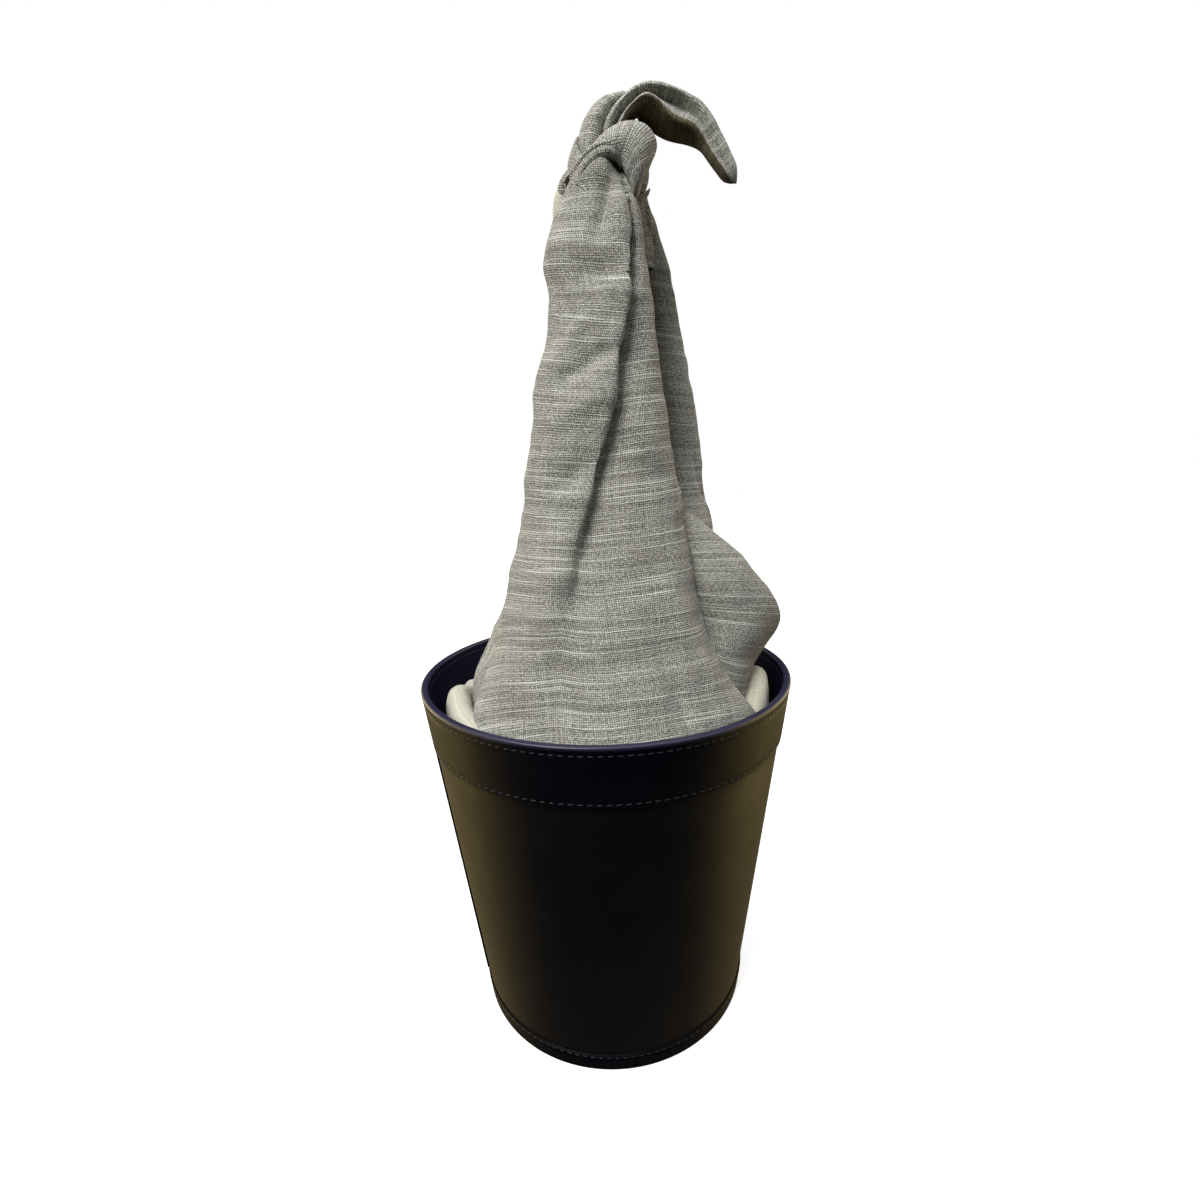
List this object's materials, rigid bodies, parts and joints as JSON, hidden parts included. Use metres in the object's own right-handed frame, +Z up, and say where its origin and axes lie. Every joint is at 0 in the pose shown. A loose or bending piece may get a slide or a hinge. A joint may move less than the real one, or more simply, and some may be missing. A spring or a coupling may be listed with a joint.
{
  "type": "storage bin",
  "caption": "Round leather storage bin with stitched bands, and a lift-out linen pouch whose long ears are tied in a knot, to close it and carry it.",
  "frame": {"origin": "centre of the bin's underside, on the surface it stands on", "axes": "+Z up; -Y the side seen in front; +X to the right, where the knot's loose end hangs"},
  "size_m": [0.1986, 0.1986, 0.4633],
  "materials": {
    "outer_leather": "satin",
    "painted_edge": "satin",
    "lining_leather": "matte",
    "bonded_leather": "matte",
    "board": "matte",
    "thread": "matte",
    "cotton_thread": "matte",
    "cotton": "matte",
    "linen": "matte"
  },
  "bodies": {
    "bin": {"wall_leather": "outer_leather", "rim_band": "outer_leather", "base_band": "outer_leather", "base_leather": "outer_leather", "side_seam_strip": "outer_leather", "rim_edge_coat": "painted_edge", "wall_stiffener": "bonded_leather", "wall_lining": "lining_leather", "lining_seam_strip": "lining_leather", "base_lining": "lining_leather", "base_board": "board", "rim_thread": "thread", "band_thread": "thread", "base_thread": "thread", "side_seam_thread": "thread"},
    "pouch": {"cotton_floor": "cotton", "cotton_wall": "cotton", "waist_thread": "cotton_thread", "linen_front": "linen", "linen_rear": "linen", "side_fold": "linen"},
    "handle": {"front_ear": "linen", "rear_ear": "linen", "knot": "linen", "upper_loop": "linen"},
    "front_end": {"front_end": "linen"},
    "rear_end": {"rear_end": "linen"}
  },
  "joints": [
    {"name": "pouch_lift", "type": "slide", "parent": "bin", "child": "pouch", "axis": [0, 0, 1], "range_m": [0, 0.2]},
    {"name": "handle_fold", "type": "hinge", "parent": "pouch", "child": "handle", "pos_m": [0, 0, 0.28], "axis": [1, 0, 0], "range_deg": [-80, 80]},
    {"name": "front_end_swing", "type": "hinge", "parent": "handle", "child": "front_end", "pos_m": [0.013, -0.012, 0.452], "axis": [0, 1, 0], "range_deg": [-60, 20]},
    {"name": "rear_end_swing", "type": "hinge", "parent": "handle", "child": "rear_end", "pos_m": [0.017, 0.008, 0.437], "axis": [1, 0, 0], "range_deg": [0, 70]}
  ]
}
